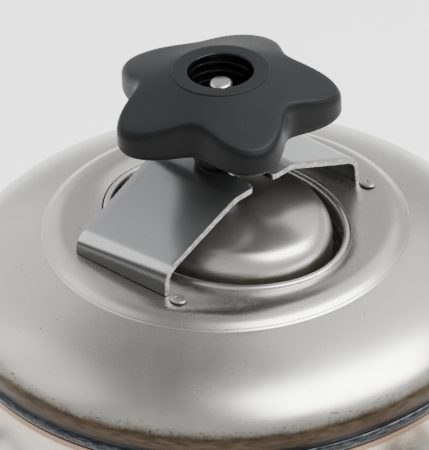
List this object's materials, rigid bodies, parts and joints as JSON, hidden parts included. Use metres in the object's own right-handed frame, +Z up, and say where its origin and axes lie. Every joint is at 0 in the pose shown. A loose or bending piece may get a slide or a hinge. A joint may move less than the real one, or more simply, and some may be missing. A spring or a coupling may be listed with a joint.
{
  "type": "pressure canner",
  "caption": "Stainless pressure canner with an oval inner lid, a slotted bridge, a star knob, a gauge, a thermometer and a safety valve.",
  "frame": {"origin": "middle of the footprint of the whole object, on the surface it stands on; the vessel's own axis is at y = 0.0234 m, because the dial instruments reach out on one side", "axes": "+Z up along the vessel; X along the bridge; -Y towards the dial instruments and the open end of the bridge's slot"},
  "size_m": [0.376, 0.3498, 0.5],
  "materials": {
    "head_steel": "satin stainless, worn, with pits and light scratches",
    "wall_steel": "satin stainless",
    "weld_steel": "oxidised weld bead, blue-grey",
    "bridge_steel": "cold-rolled sheet, sheared edges",
    "lid_steel": "satin stainless, specked",
    "fitting_steel": "turned or drawn stainless",
    "case_steel": "polished stainless case",
    "brass": "machined",
    "knob_plastic": "moulded charcoal plastic, fine grain",
    "washer_plastic": "black nylon",
    "gasket_rubber": "matt black",
    "dial_face": "white printed dial",
    "pointer_paint": "black painted pointer",
    "window_glass": "clear"
  },
  "bodies": {
    "vessel": {"top_head": "head_steel", "seat_ring": "head_steel", "bridge_stop_left": "head_steel", "bridge_stop_right": "head_steel", "upper_seam_weld": "weld_steel", "lower_seam_weld": "weld_steel", "body_wall": "wall_steel", "bottom_head": "wall_steel", "base_ring": "wall_steel", "jar_grate": "wall_steel", "handle_left": "fitting_steel", "handle_right": "fitting_steel", "gauge_socket": "fitting_steel", "gauge_stem": "brass", "gauge_case": "case_steel", "gauge_dial": "dial_face", "gauge_window": "window_glass", "gauge_bezel": "case_steel", "thermo_socket": "fitting_steel", "thermo_stem": "brass", "thermo_case": "case_steel", "thermo_dial": "dial_face", "thermo_window": "window_glass", "thermo_bezel": "case_steel", "valve_socket": "fitting_steel", "valve_body": "brass", "valve_spring": "fitting_steel", "valve_cap": "brass", "air_socket": "fitting_steel", "air_stem": "brass"},
    "lid": {"inner_lid": "lid_steel", "lid_gasket": "gasket_rubber", "lid_stud": "fitting_steel", "stud_collar": "fitting_steel"},
    "bridge": {"bridge_strap": "bridge_steel"},
    "knob": {"star_knob": "knob_plastic", "knob_nut": "brass", "thrust_washer": "washer_plastic"},
    "gauge_pointer": {"gauge_needle": "pointer_paint"},
    "thermo_pointer": {"thermo_needle": "pointer_paint"},
    "valve_stem": {"valve_plunger": "brass", "valve_ring": "fitting_steel"},
    "air_valve_pin": {"air_pin": "brass"},
    "air_valve_cap": {"air_cap": "washer_plastic"}
  },
  "joints": [
    {"name": "knob_turn", "type": "hinge", "parent": "vessel", "child": "knob", "pos_m": [0, 0.0234, 0.46], "axis": [0, 0, 1], "range_deg": [0, 3240]},
    {"name": "lid_lower", "type": "slide", "parent": "vessel", "child": "lid", "axis": [0, 0, -1], "range_m": [0, 0.0158]},
    {"name": "bridge_slide", "type": "slide", "parent": "vessel", "child": "bridge", "axis": [0, 1, 0], "range_m": [0, 0.045]},
    {"name": "gauge_pointer_turn", "type": "hinge", "parent": "vessel", "child": "gauge_pointer", "pos_m": [0, -0.1666, 0.3], "axis": [0, 1, 0], "range_deg": [0, 270], "stiffness_Nm_per_rad": 0.005},
    {"name": "thermo_pointer_turn", "type": "hinge", "parent": "vessel", "child": "thermo_pointer", "pos_m": [-0.095, -0.14114, 0.3], "axis": [0.5, 0.866, 0], "range_deg": [-36, 234], "stiffness_Nm_per_rad": 0.005},
    {"name": "valve_lift", "type": "slide", "parent": "vessel", "child": "valve_stem", "axis": [0, 0, 1], "range_m": [0, 0.003], "stiffness_N_per_m": 1500, "springref_m": -0.005, "deforming": ["valve_spring"]},
    {"name": "air_pin_press", "type": "slide", "parent": "vessel", "child": "air_valve_pin", "axis": [-0.7934, 0.6088, 0], "range_m": [0, 0.0015], "stiffness_N_per_m": 400, "springref_m": -0.001},
    {"name": "air_cap_turn", "type": "hinge", "parent": "vessel", "child": "air_valve_cap", "pos_m": [0.1428, -0.08618, 0.3], "axis": [0.7934, -0.6088, 0], "range_deg": [0, 1080]}
  ],
  "couplings": [
    {"joint": "lid_lower", "follows": "knob_turn", "m_per_rad": 0.00027852}
  ]
}
